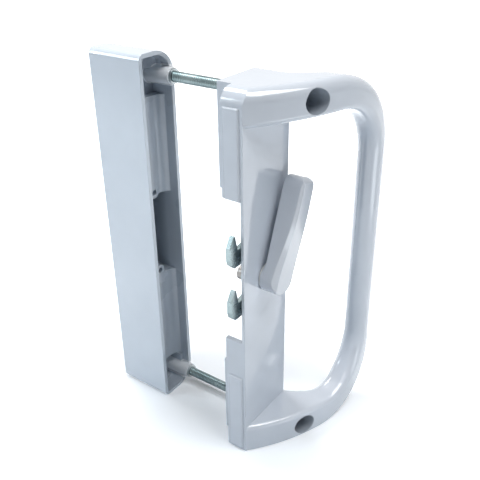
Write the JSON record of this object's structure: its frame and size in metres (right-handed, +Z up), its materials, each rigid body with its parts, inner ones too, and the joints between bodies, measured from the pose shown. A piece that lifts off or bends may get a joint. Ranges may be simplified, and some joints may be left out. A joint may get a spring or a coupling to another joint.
{
  "type": "sliding patio door lock",
  "caption": "Sliding patio door lock set: D pull with thumb lever and sideways hooks, outside pull and long fixing screws.",
  "frame": {"origin": "on the line of the two fixing screws, on the inside face of the door, at the level the set stands on", "axes": "+Z up along the screws' line, +Y from the room to the outside along the screws, +X away from the jamb"},
  "size_m": [0.0858, 0.1173, 0.1873],
  "materials": {
    "white_enamel": "gloss",
    "zinc_plated_steel": "satin",
    "spring_steel": "satin",
    "nylon": "matte"
  },
  "bodies": {
    "lock_set": {"inside_handle": "white_enamel", "outside_pull": "white_enamel", "mount_screw_bottom": "zinc_plated_steel", "mount_screw_top": "zinc_plated_steel", "pull_insert_bottom": "zinc_plated_steel", "pull_insert_top": "zinc_plated_steel", "guide_stud_lower": "zinc_plated_steel", "guide_stud_upper": "zinc_plated_steel", "cover_plate": "zinc_plated_steel", "cover_screw_1": "zinc_plated_steel", "cover_screw_2": "zinc_plated_steel", "cover_screw_3": "zinc_plated_steel", "cover_screw_4": "zinc_plated_steel", "lever_washer": "spring_steel", "lever_bush": "nylon"},
    "lever": {"thumb_lever": "white_enamel", "lever_spindle": "zinc_plated_steel", "crank": "zinc_plated_steel", "crank_pin": "zinc_plated_steel", "spindle_clip": "spring_steel"},
    "hooks": {"hook_slide": "zinc_plated_steel"}
  },
  "joints": [
    {"name": "lever_turn", "type": "hinge", "parent": "lock_set", "child": "lever", "pos_m": [-0.0095, -0.018, 0.0942], "axis": [0, -1, 0], "range_deg": [0, 40]},
    {"name": "hook_travel", "type": "slide", "parent": "lock_set", "child": "hooks", "axis": [0, 0, -1], "range_m": [0, 0.0062]}
  ],
  "couplings": [
    {"joint": "hook_travel", "follows": "lever_turn", "m_per_rad": 0.0088183}
  ]
}
